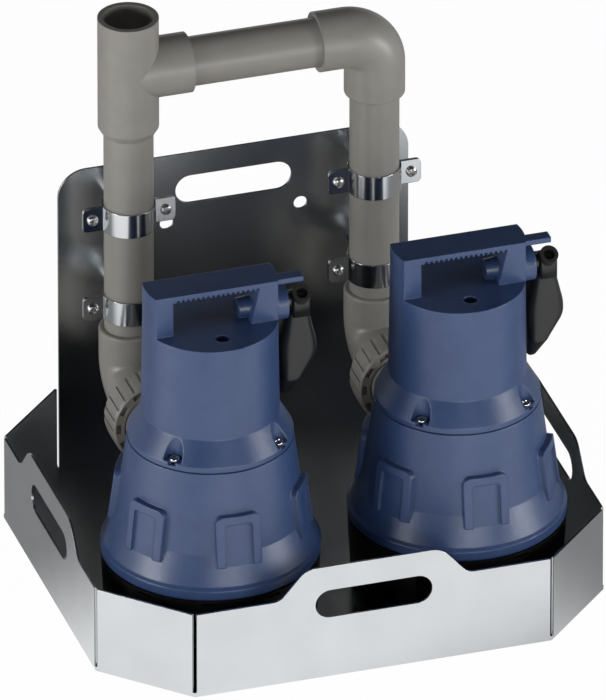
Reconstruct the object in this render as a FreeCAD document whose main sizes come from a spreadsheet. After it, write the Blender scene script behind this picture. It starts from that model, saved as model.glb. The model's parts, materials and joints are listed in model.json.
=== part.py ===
# Submersible pump set: two drainage pumps in one sheet-metal tray, with their pipework joined to one outlet.
# Frame: the origin is under the middle of the tray, +X to the right, +Y to the back plate, +Z up.
# Each pump is drawn about its own upright axis and then stood at its place in the tray.
import FreeCAD, Part
import math
import os
import re
import Sketcher

V = FreeCAD.Vector
X_AXIS, Y_AXIS, Z_AXIS = V(1, 0, 0), V(0, 1, 0), V(0, 0, 1)
QUARTER = math.pi / 2

# Driving sizes in millimetres, degrees or pieces.
SIZES = {
    # Tray and back plate, folded from one gauge of sheet.
    "tray_length": 423, "tray_depth": 376, "tray_height": 76, "sheet_wall": 2, "corner_cut": 63,
    "corner_slit": 1.8, "slit_start": 5, "fold_radius": 2.5,
    "handle_top": 101.5, "handle_flat": 112, "handle_run": 156, "handle_round": 18, "handle_hollow": 12,
    "slot_length": 97, "slot_height": 25, "wall_slot_mid": 67.5,
    "plate_height": 274, "plate_corner": 23.5, "plate_slot_mid": 241,
    "plate_hole": 11.2, "plate_hole_spacing": 112, "plate_hole_mid": 213, "seam_gap": 2,
    # Pipework: 40 mm pipe and its glued fittings.
    "pipe_size": 40, "pipe_wall": 3, "fitting_size": 49, "glue_gap": 0.15, "socket_deep": 26,
    "riser_spacing": 205, "riser_setback": 49, "branch_level": 387, "lower_level": 105,
    "fitting_leg": 49, "tee_drop": 55, "tee_taper": 6, "tee_lip": 1, "elbow_drop": 53, "elbow_bend": 25,
    "mouth_round": 2,
    # Unions between the pumps and the risers.
    "nut_size": 73.4, "nut_width": 27, "nut_lip": 5, "nut_hole": 54, "nut_ribs": 24, "rib_size": 3, "rib_deep": 1,
    "nut_notches": 12, "notch_mid": 31.5, "notch_size": 4, "notch_deep": 2, "union_flange": 66,
    "union_gap": 0.3, "flange_thick": 4.4, "end_gap": 1,
    # Pipe clamps.
    "clamp_upper": 256, "clamp_lower": 175, "clamp_width": 21, "clamp_thick": 1.5, "clamp_reach": 38.7,
    "clamp_gap": 0.2, "ear_round": 4, "clamp_screw_spacing": 61, "clamp_screw": 5, "screw_head": 9,
    "screw_head_thick": 3, "screw_length": 10, "screw_gap": 0.1, "standoff_size": 16,
    # Pump casing, levels above the underside of the tray.
    "pump_setback": 106, "foot_low": 84, "foot_high": 87.3, "foot_wall": 3, "rim_low": 72,
    "slot_count": 10, "strainer_slot": 11, "slot_foot": 9, "tall_slot": 57, "short_slot": 37,
    "window_low": 68, "window_tall": 2.2, "window_wide": 12,
    "rim_radius": 87.7, "rim_high": 84, "rim_round": 2.5, "crease_radius": 75.4, "crease_level": 108,
    "bell_radius": 66.3, "seam_level": 177, "casing_wall": 4, "gasket_thick": 0.8, "gasket_inset": 1.2,
    "eye_radius": 24, "cover_thick": 4, "cover_level": 82, "cover_gap": 0.3,
    "chamber_radius": 62, "deck_low": 124, "deck_high": 130, "flange_low": 171, "core_radius": 51,
    "seal_bore": 14, "carrier_radius": 24, "carrier_high": 163,
    "pad_wide": 37, "pad_low": 99, "pad_high": 142, "pad_bar": 7, "pad_proud": 5, "panel_proud": 2.5,
    "panel_lap": 1, "pad_round": 7, "pad_fall": 1.2, "pad_count": 6,
    "nozzle_radius": 27, "nozzle_end": 95, "nozzle_socket": 15, "spigot_radius": 21, "port_radius": 14,
    # Motor housing.
    "lip_high": 182, "lip_radius": 66, "neck_radius": 55, "neck_level": 201,
    "top_radius": 53.8, "top_level": 281, "motor_bore": 50.2, "top_thick": 4,
    "screw_circle": 60.5, "pocket_circle": 63.4, "pocket_radius": 8, "pocket_floor": 183, "lip_notch": 3.5,
    "case_screw_head": 4.2, "case_screw_rise": 3, "case_screw": 2.4, "case_screw_length": 10,
    "vent_setback": 33.5, "vent_radius": 6, "vent_deep": 10,
    "grip_high": 316.5, "grip_front": 18.8, "grip_back": 11.2, "bar_thick": 6,
    "grip_left": 36, "grip_right": 35, "post_slant": 6.5, "tooth_count": 17, "tooth_pitch": 4.1,
    "tooth_deep": 1.7, "tooth_wide": 2.1,
    "nose_start": 21, "nose_tip": 8, "nose_radius": 9.5,
    "boss_radius": 14.25, "boss_end": 60.7, "boss_level": 288, "boss_setback": 2,
    "bar_start": 46, "finger_bar_end": 72, "finger_bar_front": 17, "finger_bar_back": 7, "finger_bar_thick": 4.5,
    # Motor and hydraulics inside.
    "shaft_radius": 8, "shaft_nose": 6, "shaft_low": 90, "shaft_high": 274,
    "running_gap": 0.06, "seat_gap": 0.25,
    "impeller_radius": 48, "impeller_low": 98, "shroud_low": 118, "impeller_high": 122, "hub_radius": 13,
    "hub_draft": 2, "shroud_edge": 2, "blade_count": 6, "blade_thick": 4, "blade_root": 1, "blade_sweep": 13,
    "rotor_radius": 29.5, "air_gap": 0.5, "stack_low": 205, "stack_high": 250, "rotor_over": 2,
    "winding_inner": 31.5, "winding_outer": 46, "winding_over": 9,
    "bearing_radius": 17.5, "bearing_low": 150, "bearing_thick": 12,
    "top_bearing_radius": 13, "top_bearing_low": 264, "top_bearing_thick": 9,
    "seal_low": 132.3, "seal_high": 146,
    # Check valve behind each pump.
    "valve_radius": 26, "valve_chamber": 21, "valve_seat": 112, "flap_radius": 16.6, "flap_thick": 2.5,
    "hinge_rise": 17, "hinge_radius": 2.4, "hinge_half": 6, "trunnion_radius": 1.4, "trunnion_half": 15,
    "trunnion_gap": 0.08, "flap_gap": 0.3,
    # Level float beside each pump.
    "float_inner": 57, "float_outer": 89, "float_shoulder": 282, "float_shoulder_in": 64,
    "float_shoulder_out": 79, "float_wide_level": 241, "float_wide_half": 5, "float_crease": 216,
    "float_low_out": 75, "float_foot": 196.5, "float_foot_in": 60, "float_foot_out": 68,
    "float_front": -6, "float_foot_front": 6,
    "float_back": 36, "float_back_high": 28, "float_round": 3.5,
    "neck_inner": 66, "neck_outer": 80, "neck_half": 8,
    "pivot_radius": 3, "pivot_in": 8, "pivot_out": 73, "collar_radius": 6, "float_gap": 0.4,
    "sleeve_radius": 7.5, "sleeve_bore": 4.5, "sleeve_start": 4.5, "sleeve_end": 11.5, "sleeve_tilt": 50,
    "sleeve_deep": 5,
}

doc = FreeCAD.newDocument("PumpSet")
sheet = doc.addObject("Spreadsheet::Sheet", "Sizes")
for row, (size_name, size_value) in enumerate(SIZES.items(), 1):
    sheet.set("A%d" % row, size_name)
    sheet.set("B%d" % row, str(size_value))
    sheet.setAlias("B%d" % row, size_name)
doc.recompute()

workings = doc.addObject("Spreadsheet::Sheet", "Workings")
WORD = re.compile(r"[a-z_]{3,}")
NODES = []


def val(name):
    """Read one size from its cell."""
    return float(sheet.get(name))


def ex(text):
    """Turn size names in a formula into references to their cells."""
    return WORD.sub(lambda found: "Sizes." + found.group(0) if found.group(0) in SIZES else found.group(0), text)


def number(formula):
    """Work out a formula of sizes in a cell of the second sheet."""
    workings.set("A1", "=" + ex(formula))
    workings.recompute()
    return float(workings.get("A1"))


def spot(formula_x, formula_y):
    """Point of a sketch, worked out from two formulas."""
    return V(number(formula_x), number(formula_y), 0)


def bind(thing, **formulas):
    """Tie properties of an object to formulas of sizes."""
    for prop, formula in formulas.items():
        thing.setExpression(prop, ex(formula))
    return thing


def place(thing, across="0", along="0", up="0", turn=None):
    """Put an object at a point given by formulas, turned by turn = (axis, degrees)."""
    if turn:
        thing.Placement.Rotation = FreeCAD.Rotation(*turn)
    for letter, formula in (("x", across), ("y", along), ("z", up)):
        thing.setExpression(".Placement.Base." + letter, ex(formula))
    return thing


def node(thing, label):
    """Name a finished sub-part."""
    thing.Label = label
    NODES.append(thing)
    return thing


def add(kind, name):
    return doc.addObject(kind, name)


def rod(name, radius, length, across="0", along="0", up="0", turn=None):
    """Cylinder that starts at a point and runs along +Z, or where turn points it."""
    thing = bind(add("Part::Cylinder", name), Radius=radius, Height=length)
    return place(thing, across, along, up, turn)


def block(name, wide, deep, tall, across, along, up):
    """Box of the given size with its low corner at a point."""
    thing = bind(add("Part::Box", name), Length=wide, Width=deep, Height=tall)
    return place(thing, across, along, up)


def join(name, *things):
    """Fuse pieces of one casting or moulding."""
    result = add("Part::MultiFuse", name)
    result.Shapes = list(things)
    return result


def cut(name, base, *tools):
    """Take tools away from a base."""
    tool = tools[0] if len(tools) == 1 else join(name + "_tools", *tools)
    result = add("Part::Cut", name)
    result.Base, result.Tool = base, tool
    return result


def overlap(name, first, second):
    """Keep what two solids share."""
    result = add("Part::Common", name)
    result.Base, result.Tool = first, second
    return result


def pin_point(sketch, line, corner, formula_x, formula_y):
    """Hold one point of a sketch at a place given by two formulas."""
    for way, formula in (("DistanceX", formula_x), ("DistanceY", formula_y)):
        index = sketch.addConstraint(Sketcher.Constraint(way, -1, 1, line, corner, number(formula)))
        sketch.setExpression("Constraints[%d]" % index, ex(formula))


def outline(sketch, points):
    """Closed outline of straight lines through points given as pairs of formulas."""
    count = len(points)
    first = sketch.GeometryCount
    ring = [spot(*point) for point in points]
    for i in range(count):
        sketch.addGeometry(Part.LineSegment(ring[i], ring[(i + 1) % count]), False)
    for i in range(count):
        after = first + (i + 1) % count
        sketch.addConstraint(Sketcher.Constraint("Coincident", first + i, 2, after, 1))
        pin_point(sketch, first + i, 1, *points[i])


def circle(sketch, radius, across="0", up="0"):
    """Circle in a sketch."""
    index = sketch.addGeometry(Part.Circle(spot(across, up), Z_AXIS, number(radius)), False)
    pin_point(sketch, index, 3, across, up)
    size = sketch.addConstraint(Sketcher.Constraint("Radius", index, number(radius)))
    sketch.setExpression("Constraints[%d]" % size, ex(radius))


def stadium(sketch, length, height, middle):
    """Level slot with round ends, centred on the upright axis. The arguments are size names."""
    half = (val(length) - val(height)) / 2
    round_end = val(height) / 2
    mid = val(middle)
    left = Part.Circle(V(-half, mid, 0), Z_AXIS, round_end)
    right = Part.Circle(V(half, mid, 0), Z_AXIS, round_end)
    sketch.addGeometry(Part.ArcOfCircle(left, QUARTER, 3 * QUARTER), False)
    sketch.addGeometry(Part.LineSegment(V(-half, mid - round_end, 0), V(half, mid - round_end, 0)), False)
    sketch.addGeometry(Part.ArcOfCircle(right, -QUARTER, QUARTER), False)
    sketch.addGeometry(Part.LineSegment(V(half, mid + round_end, 0), V(-half, mid + round_end, 0)), False)
    for i in range(4):
        sketch.addConstraint(Sketcher.Constraint("Tangent", i, 2, (i + 1) % 4, 1))
    sketch.addConstraint(Sketcher.Constraint("Equal", 0, 2))
    size = sketch.addConstraint(Sketcher.Constraint("Radius", 0, round_end))
    sketch.setExpression("Constraints[%d]" % size, ex(height + " / 2"))
    pin_point(sketch, 0, 3, "-(%s - %s) / 2" % (length, height), middle)
    pin_point(sketch, 2, 3, "(%s - %s) / 2" % (length, height), middle)


def arch(sketch, width, foot, top):
    """Upright slot with a flat foot and a round head, as three lines and an arc. Formulas."""
    first = sketch.GeometryCount
    half = "(%s) / 2" % width
    spring = "(%s) - (%s) / 2" % (top, width)
    corners = [("-" + half, spring), ("-" + half, foot), (half, foot), (half, spring)]
    spots = [spot(*corner) for corner in corners]
    head = Part.Circle(spot("0", spring), Z_AXIS, number(half))
    for i in range(3):
        sketch.addGeometry(Part.LineSegment(spots[i], spots[i + 1]), False)
    sketch.addGeometry(Part.ArcOfCircle(head, 0, 2 * QUARTER), False)
    for i in range(4):
        after = first + (i + 1) % 4
        sketch.addConstraint(Sketcher.Constraint("Coincident", first + i, 2, after, 1))
        pin_point(sketch, first + i, 1, *corners[i])
    level = sketch.addConstraint(Sketcher.Constraint("DistanceY", -1, 1, first + 3, 3, number(spring)))
    sketch.setExpression("Constraints[%d]" % level, ex(spring))


def shield(sketch, width, foot, top, corner):
    """Upright panel with a flat foot and two rounded top corners. Formulas."""
    first = sketch.GeometryCount
    half, flat = "((%s) / 2)" % width, "((%s) / 2 - (%s))" % (width, corner)
    spring = "(%s) - (%s)" % (top, corner)
    corners = [("-" + half, spring), ("-" + half, foot), (half, foot), (half, spring), (flat, top),
               ("-" + flat, top)]
    ring = [spot(*corner_spot) for corner_spot in corners]
    right = Part.Circle(spot(flat, spring), Z_AXIS, number(corner))
    left = Part.Circle(spot("-" + flat, spring), Z_AXIS, number(corner))
    for i in range(3):
        sketch.addGeometry(Part.LineSegment(ring[i], ring[i + 1]), False)
    sketch.addGeometry(Part.ArcOfCircle(right, 0, QUARTER), False)
    sketch.addGeometry(Part.LineSegment(ring[4], ring[5]), False)
    sketch.addGeometry(Part.ArcOfCircle(left, QUARTER, 2 * QUARTER), False)
    for i in range(6):
        sketch.addConstraint(Sketcher.Constraint("Coincident", first + i, 2, first + (i + 1) % 6, 1))
        pin_point(sketch, first + i, 1, *corners[i])
    for arc, across in ((3, flat), (5, "-" + flat)):
        middle = sketch.addConstraint(Sketcher.Constraint("DistanceX", -1, 1, first + arc, 3, number(across)))
        sketch.setExpression("Constraints[%d]" % middle, ex(across))


def plane(body, role):
    """Find an origin plane or axis of a body."""
    return [item for item in body.Origin.OriginFeatures if item.Role == role][0]


def sketch_on(body, name, role, offset="0"):
    """Sketch on an origin plane of a body, moved along the plane's normal."""
    sketch = body.newObject("Sketcher::SketchObject", name)
    sketch.AttachmentSupport = [(plane(body, role), "")]
    sketch.MapMode = "FlatFace"
    sketch.setExpression(".AttachmentOffset.Base.z", ex(offset))
    return sketch


def pad(body, sketch, length, **settings):
    """Thicken a sketch."""
    feature = body.newObject("PartDesign::Pad", sketch.Name + "_pad")
    feature.Profile = sketch
    for prop, value in settings.items():
        setattr(feature, prop, value)
    bind(feature, Length=length)
    body.Tip = feature
    doc.recompute()
    return feature


def pocket(body, sketch, length, **settings):
    """Cut a sketch out of the body and make sure that it took something away."""
    before = body.Tip.Shape.Volume
    feature = body.newObject("PartDesign::Pocket", sketch.Name + "_pocket")
    feature.Profile = sketch
    for prop, value in settings.items():
        setattr(feature, prop, value)
    bind(feature, Length=length)
    body.Tip = feature
    doc.recompute()
    if feature.Shape.Volume >= before:
        raise ValueError("pocket %s cuts nothing" % sketch.Name)
    return feature


def around(body, features, count, axis_role="Z_Axis"):
    """Repeat features round an axis of the body."""
    pattern = body.newObject("PartDesign::PolarPattern", features[-1].Name + "_ring")
    pattern.Originals = features
    pattern.Axis = (plane(body, axis_role), [""])
    pattern.Angle = 360
    bind(pattern, Occurrences=count)
    body.Tip = pattern
    doc.recompute()
    return pattern


def revolve(body, sketch, axis="V_Axis", angle=360, back=False):
    """Turn a sketch round one of its axes."""
    feature = body.newObject("PartDesign::Revolution", sketch.Name + "_turned")
    feature.Profile = sketch
    feature.ReferenceAxis = (sketch, [axis])
    feature.Angle = angle
    feature.Reversed = back
    body.Tip = feature
    doc.recompute()
    return feature


def turned(name, points):
    """Body turned about the upright axis from an outline of (radius, level) formulas."""
    body = add("PartDesign::Body", name)
    sketch = sketch_on(body, name + "_profile", "XZ_Plane")
    outline(sketch, points)
    revolve(body, sketch)
    return body


def turned_along(name, points):
    """Body turned about the Y axis from an outline of (distance along Y, radius) formulas."""
    body = add("PartDesign::Body", name)
    sketch = sketch_on(body, name + "_profile", "YZ_Plane")
    outline(sketch, points)
    revolve(body, sketch, "H_Axis")
    return body


def edges_where(feature, test):
    """Names of a feature's edges whose middle point passes a test."""
    names = []
    for number, edge in enumerate(feature.Shape.Edges, 1):
        middle = edge.valueAt((edge.FirstParameter + edge.LastParameter) / 2)
        if test(middle, edge):
            names.append("Edge%d" % number)
    if not names:
        raise ValueError("no edge found on " + feature.Name)
    return names


def fillet(body, radius, test):
    """Round the edges of the body's last feature that pass a test."""
    base = body.Tip
    feature = body.newObject("PartDesign::Fillet", base.Name + "_round")
    feature.Base = (base, edges_where(base, test))
    bind(feature, Radius=radius)
    body.Tip = feature
    doc.recompute()
    return feature


def straight(edge, direction):
    """Whether an edge is a straight line along a direction."""
    if edge.Curve.TypeId != "Part::GeomLine":
        return False
    return edge.Curve.Direction.cross(direction).Length < 0.001


def tray_corners(inset):
    """Corners of the tray's eight-sided outline, set in by a distance, as formulas."""
    half_x = "(tray_length / 2 - %s)" % inset
    half_y = "(tray_depth / 2 - %s)" % inset
    corner = "(corner_cut - (2 - sqrt(2)) * %s)" % inset
    near_x, near_y = "(%s - %s)" % (half_x, corner), "(%s - %s)" % (half_y, corner)
    return [
        (near_x, "-" + half_y), (half_x, "-" + near_y), (half_x, near_y), (near_x, half_y),
        ("-" + near_x, half_y), ("-" + half_x, near_y), ("-" + half_x, "-" + near_y), ("-" + near_x, "-" + half_y),
    ]


def make_tray():
    """Folded tray: eight-sided floor, plain corner walls, and three walls raised into slotted handles."""
    body = add("PartDesign::Body", "tray")
    floor = sketch_on(body, "tray_floor", "XY_Plane")
    outline(floor, tray_corners("0"))
    pad(body, floor, "sheet_wall")
    walls = sketch_on(body, "tray_walls", "XY_Plane")
    outline(walls, tray_corners("0"))
    outline(walls, tray_corners("sheet_wall"))
    pad(body, walls, "tray_height")
    fillet(body, "fold_radius", lambda mid, edge: abs(mid.z) < 0.01)
    raised = [
        ("-handle_run / 2", "tray_height - fold_radius"), ("handle_run / 2", "tray_height - fold_radius"),
        ("handle_run / 2", "tray_height"), ("handle_flat / 2", "handle_top"),
        ("-handle_flat / 2", "handle_top"), ("-handle_run / 2", "tray_height"),
    ]
    # The upright plane's normal points to the front, and the side plane's to the right.
    sides = (("front", "XZ_Plane", "tray_depth / 2 - sheet_wall"),
             ("right", "YZ_Plane", "tray_length / 2 - sheet_wall"),
             ("left", "YZ_Plane", "-tray_length / 2"))
    for side, role, offset in sides:
        shape = sketch_on(body, side + "_handle", role, offset)
        outline(shape, raised)
        pad(body, shape, "sheet_wall")
    top, run, flat, height = val("handle_top"), val("handle_run"), val("handle_flat"), val("tray_height")
    fillet(body, "handle_round", lambda mid, edge: abs(mid.z - top) < 0.1 and edge.Length < 3)
    fillet(body, "handle_hollow", lambda mid, edge: abs(mid.z - height) < 0.1 and edge.Length < 3
           and min(abs(abs(mid.x) - run / 2), abs(abs(mid.y) - run / 2)) < 0.1)
    for side, role, offset in sides:
        shape = sketch_on(body, side + "_slot", role, offset)
        stadium(shape, "slot_length", "slot_height", "wall_slot_mid")
        pocket(body, shape, "sheet_wall", Reversed=True)
    slits = sketch_on(body, "corner_slits", "XY_Plane", "slit_start")
    for across, along in tray_corners("sheet_wall / 2"):
        circle(slits, "corner_slit", across, along)
    pocket(body, slits, "handle_top", Reversed=True)
    back = sketch_on(body, "back_opening", "XY_Plane", "sheet_wall")
    edge = "(tray_length / 2 - corner_cut)"
    inner, outer = "(tray_depth / 2 - sheet_wall)", "(tray_depth / 2 + sheet_wall)"
    outline(back, [("-" + edge, inner), (edge, inner), (edge, outer), ("-" + edge, outer)])
    pocket(body, back, "handle_top", Reversed=True)
    node(body, "base_tray")


def make_back_plate():
    """Upright plate with a hand slot and two mounting holes, standing on the tray's rear edge."""
    body = add("PartDesign::Body", "plate")
    shape = sketch_on(body, "plate_outline", "XZ_Plane", "-tray_depth / 2")
    edge = "(tray_length / 2 - corner_cut - seam_gap)"
    outline(shape, [("-" + edge, "sheet_wall"), (edge, "sheet_wall"), (edge, "plate_height"),
                    ("-" + edge, "plate_height")])
    pad(body, shape, "sheet_wall")
    high = val("plate_height")
    fillet(body, "plate_corner", lambda mid, edge: abs(mid.z - high) < 0.1 and edge.Length < 3)
    slot = sketch_on(body, "plate_slot", "XZ_Plane", "-tray_depth / 2")
    stadium(slot, "slot_length", "slot_height", "plate_slot_mid")
    pocket(body, slot, "sheet_wall", Reversed=True)
    holes = sketch_on(body, "plate_holes", "XZ_Plane", "-tray_depth / 2")
    for sign in ("-", ""):
        circle(holes, "plate_hole / 2", sign + "plate_hole_spacing / 2", "plate_hole_mid")
    pocket(body, holes, "sheet_wall", Reversed=True)
    node(body, "back_plate")


PIPE, FITTING = "pipe_size / 2", "fitting_size / 2"
BORE, SOCKET = "pipe_size / 2 - pipe_wall", "pipe_size / 2 + glue_gap"
RISER_Y = "tray_depth / 2 - sheet_wall - riser_setback"
TO_LEFT, TO_FRONT = (Y_AXIS, -90), (X_AXIS, 90)


def riser_x(side):
    """Place of a riser across the tray."""
    return "-riser_spacing / 2" if side == "left" else "riser_spacing / 2"


def tube(name, length, **where):
    """Length of pipe along +Z, or where it is turned."""
    return cut(name, rod(name + "_outer", PIPE, length, **where), rod(name + "_inner", BORE, length, **where))


def elbow(name, drop, leg):
    """Glued 90 degree elbow: its corner at the origin, one leg down and one to the left, a socket in each."""
    body = add("PartDesign::Body", name)
    for way, role, offset in (("down", "XY_Plane", drop), ("side", "YZ_Plane", leg)):
        ring = sketch_on(body, "%s_leg_%s" % (name, way), role, "-" + offset)
        circle(ring, FITTING)
        circle(ring, BORE)
        pad(body, ring, offset + " - elbow_bend")
        if way == "down":
            bend = sketch_on(body, name + "_bend", role, "-elbow_bend")
            circle(bend, FITTING)
            circle(bend, BORE)
            axis = bend.addGeometry(Part.LineSegment(V(-5, 0, 0), V(-5, 5, 0)), True)
            pin_point(bend, axis, 1, "-elbow_bend", "0")
            pin_point(bend, axis, 2, "-elbow_bend", "elbow_bend")
            revolve(body, bend, "Axis0", 90, True)
    for way, role, offset in (("down", "XY_Plane", drop), ("side", "YZ_Plane", leg)):
        mouth = sketch_on(body, "%s_socket_%s" % (name, way), role, "-" + offset)
        circle(mouth, SOCKET)
        pocket(body, mouth, "socket_deep", Reversed=True)
    low, wide = -val(drop), val("fitting_size") / 2
    fillet(body, "mouth_round", lambda mid, edge: abs(edge.BoundBox.ZMin - low) < 0.01
           and edge.BoundBox.ZLength < 0.01 and edge.BoundBox.XMax > wide - 0.5)
    return node(body, name)


def make_pipework():
    """Risers, tee, cross pipe and elbows."""
    for side in ("left", "right"):
        top = "branch_level - tee_drop" if side == "left" else "branch_level - elbow_drop"
        foot = "(lower_level + fitting_leg - socket_deep)"
        riser = tube("riser_" + side, "%s + socket_deep - %s" % (top, foot), up=foot)
        place(riser, riser_x(side), RISER_Y)
        node(riser, "riser_pipe_" + side)
        bend = elbow("lower_elbow_" + side, "fitting_leg", "fitting_leg")
        bend.Placement.Rotation = FreeCAD.Rotation(Z_AXIS, 90) * FreeCAD.Rotation(X_AXIS, 180)
        place(bend, riser_x(side), RISER_Y, "lower_level")
    cross = tube("cross", "riser_spacing - 2 * (fitting_leg - socket_deep)", turn=(Y_AXIS, 90))
    place(cross, "-riser_spacing / 2 + fitting_leg - socket_deep", RISER_Y, "branch_level")
    node(cross, "cross_pipe")
    place(elbow("top_elbow", "elbow_drop", "fitting_leg"), riser_x("right"), RISER_Y, "branch_level")

    run = turned("tee_run", [("0", "-tee_drop"), ("pipe_size / 2 + tee_lip", "-tee_drop"),
                             (FITTING, "tee_taper - tee_drop"), (FITTING, "fitting_leg"), ("0", "fitting_leg")])
    branch = rod("tee_branch", FITTING, "fitting_leg", turn=(Y_AXIS, 90))
    flow = [rod("tee_flow", BORE, "tee_drop + fitting_leg", up="-tee_drop"),
            rod("tee_side_flow", BORE, "fitting_leg", turn=(Y_AXIS, 90)),
            rod("tee_low_socket", SOCKET, "socket_deep", up="-tee_drop"),
            rod("tee_top_socket", SOCKET, "socket_deep", up="fitting_leg - socket_deep"),
            rod("tee_side_socket", SOCKET, "socket_deep", "fitting_leg - socket_deep", turn=(Y_AXIS, 90))]
    tee = cut("tee", join("tee_solid", run, branch), *flow)
    place(tee, riser_x("left"), RISER_Y, "branch_level")
    node(tee, "outlet_tee")


def make_clamps():
    """Two-part strap clamps that hold each riser off the back plate."""
    heads, posts = [], []
    ring = "(pipe_size / 2 + clamp_gap)"
    for side in ("left", "right"):
        for level in ("upper", "lower"):
            name = "clamp_%s_%s" % (side, level)
            up = "clamp_%s - clamp_width / 2" % level
            for half, back in (("front", "-1"), ("rear", "0")):
                band = rod("%s_%s_band" % (name, half), ring + " + clamp_thick", "clamp_width")
                ears = block("%s_%s_ears" % (name, half), "2 * clamp_reach", "clamp_thick", "clamp_width",
                             "-clamp_reach", back + " * clamp_thick", "0")
                solid = join("%s_%s_solid" % (name, half), band, ears)
                away = block("%s_%s_away" % (name, half), "4 * clamp_reach", "clamp_reach", "2 * clamp_width",
                             "-2 * clamp_reach", "0" if half == "front" else "-clamp_reach", "-clamp_width / 2")
                holes = [rod("%s_%s_hole%d" % (name, half, hole), "clamp_screw / 2 + screw_gap", "clamp_reach",
                             sign + "clamp_screw_spacing / 2", "clamp_reach / 2", "clamp_width / 2", TO_FRONT)
                         for hole, sign in enumerate(("-", ""))]
                strap = cut("%s_%s_strap" % (name, half), solid, away,
                            rod("%s_%s_inner" % (name, half), ring, "clamp_width"), *holes)
                doc.recompute()
                rounded = add("Part::Fillet", "%s_%s" % (name, half))
                rounded.Base = strap
                reach = val("clamp_reach")
                rounded.Edges = [(i, val("ear_round"), val("ear_round"))
                                 for i, edge in enumerate(strap.Shape.Edges, 1)
                                 if straight(edge, Y_AXIS) and abs(abs(edge.CenterOfMass.x) - reach) < 0.01]
                place(rounded, riser_x(side), RISER_Y, up)
                node(rounded, "clamp_%s_%s_%s" % (half, side, level))
            for number, sign in enumerate(("-", "")):
                screw = turned_along("%s_screw%d" % (name, number), [
                    ("-clamp_thick - screw_head_thick", "0"),
                    ("-clamp_thick - screw_head_thick", "screw_head / 3"),
                    ("-clamp_thick", "screw_head / 2"),
                    ("-clamp_thick", "clamp_screw / 2"),
                    ("screw_length - clamp_thick", "clamp_screw / 2"),
                    ("screw_length - clamp_thick", "0")])
                place(screw, "%s + %sclamp_screw_spacing / 2" % (riser_x(side), sign), RISER_Y, "clamp_" + level)
                heads.append(screw)
            post = cut(name + "_post",
                       rod(name + "_stud", "standoff_size / 2", "riser_setback", "0", "riser_setback", "0", TO_FRONT),
                       rod(name + "_saddle", ring + " + clamp_thick + screw_gap", "2 * clamp_reach",
                           up="-clamp_reach"))
            place(post, riser_x(side), RISER_Y, "clamp_" + level)
            posts.append(post)
    for label, things in (("clamp_screws", heads), ("clamp_standoffs", posts)):
        group = add("Part::Compound", label + "_group")
        group.Links = things
        node(group, label)


def make_union(side):
    """Loose union nut and the glued threaded end that it draws against the valve's flange."""
    start = "-(riser_setback - pipe_size / 2)"
    body = turned_along("union_nut_" + side, [
        ("0", "nut_hole / 2"), ("0", "nut_size / 2 - notch_deep"), ("notch_deep", "nut_size / 2"),
        ("nut_width - notch_deep", "nut_size / 2"), ("nut_width", "nut_size / 2 - notch_deep"),
        ("nut_width", "union_flange / 2 + union_gap"), ("nut_lip", "union_flange / 2 + union_gap"),
        ("nut_lip", "nut_hole / 2")])
    rib = sketch_on(body, "rib_" + side, "XZ_Plane")
    outline(rib, [("-rib_size / 2", "nut_size / 2 - rib_deep"), ("rib_size / 2", "nut_size / 2 - rib_deep"),
                  ("rib_size / 2", "nut_size / 2 + rib_size"), ("-rib_size / 2", "nut_size / 2 + rib_size")])
    groove = pocket(body, rib, "nut_width")
    around(body, [groove], "nut_ribs", "Y_Axis")
    notch = sketch_on(body, "notch_" + side, "XZ_Plane")
    outline(notch, [("-notch_size", "notch_mid - notch_size / 2"), ("notch_size", "notch_mid - notch_size / 2"),
                    ("notch_size", "notch_mid + notch_size / 2"), ("-notch_size", "notch_mid + notch_size / 2")])
    hollow = pocket(body, notch, "notch_deep")
    around(body, [hollow], "nut_notches", "Y_Axis")
    place(body, riser_x(side), NUT_Y, "lower_level")
    node(body, "union_nut_" + side)
    end = turned_along("union_end_" + side, [
        ("nut_lip + flange_thick + 2 * union_gap", BORE),
        ("nut_lip + flange_thick + 2 * union_gap", "union_flange / 2"),
        ("nut_width - union_gap", "union_flange / 2"),
        ("nut_width - union_gap", PIPE), ("nut_width + socket_deep - end_gap", PIPE),
        ("nut_width + socket_deep - end_gap", BORE)])
    place(end, riser_x(side), NUT_Y, "lower_level")
    node(end, "union_end_" + side)


NUT_Y = RISER_Y + " - fitting_leg - nut_width"
PUMP_AXIS = "-tray_depth / 2 + pump_setback"
VALVE_END = "(%s + nut_lip + union_gap + flange_thick - (%s))" % (NUT_Y, PUMP_AXIS)


def stand(thing, side, label):
    """Stand a piece drawn about a pump's axis in that pump's place."""
    place(thing, riser_x(side), PUMP_AXIS, "0")
    return node(thing, "%s_%s" % (label, side))


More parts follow.
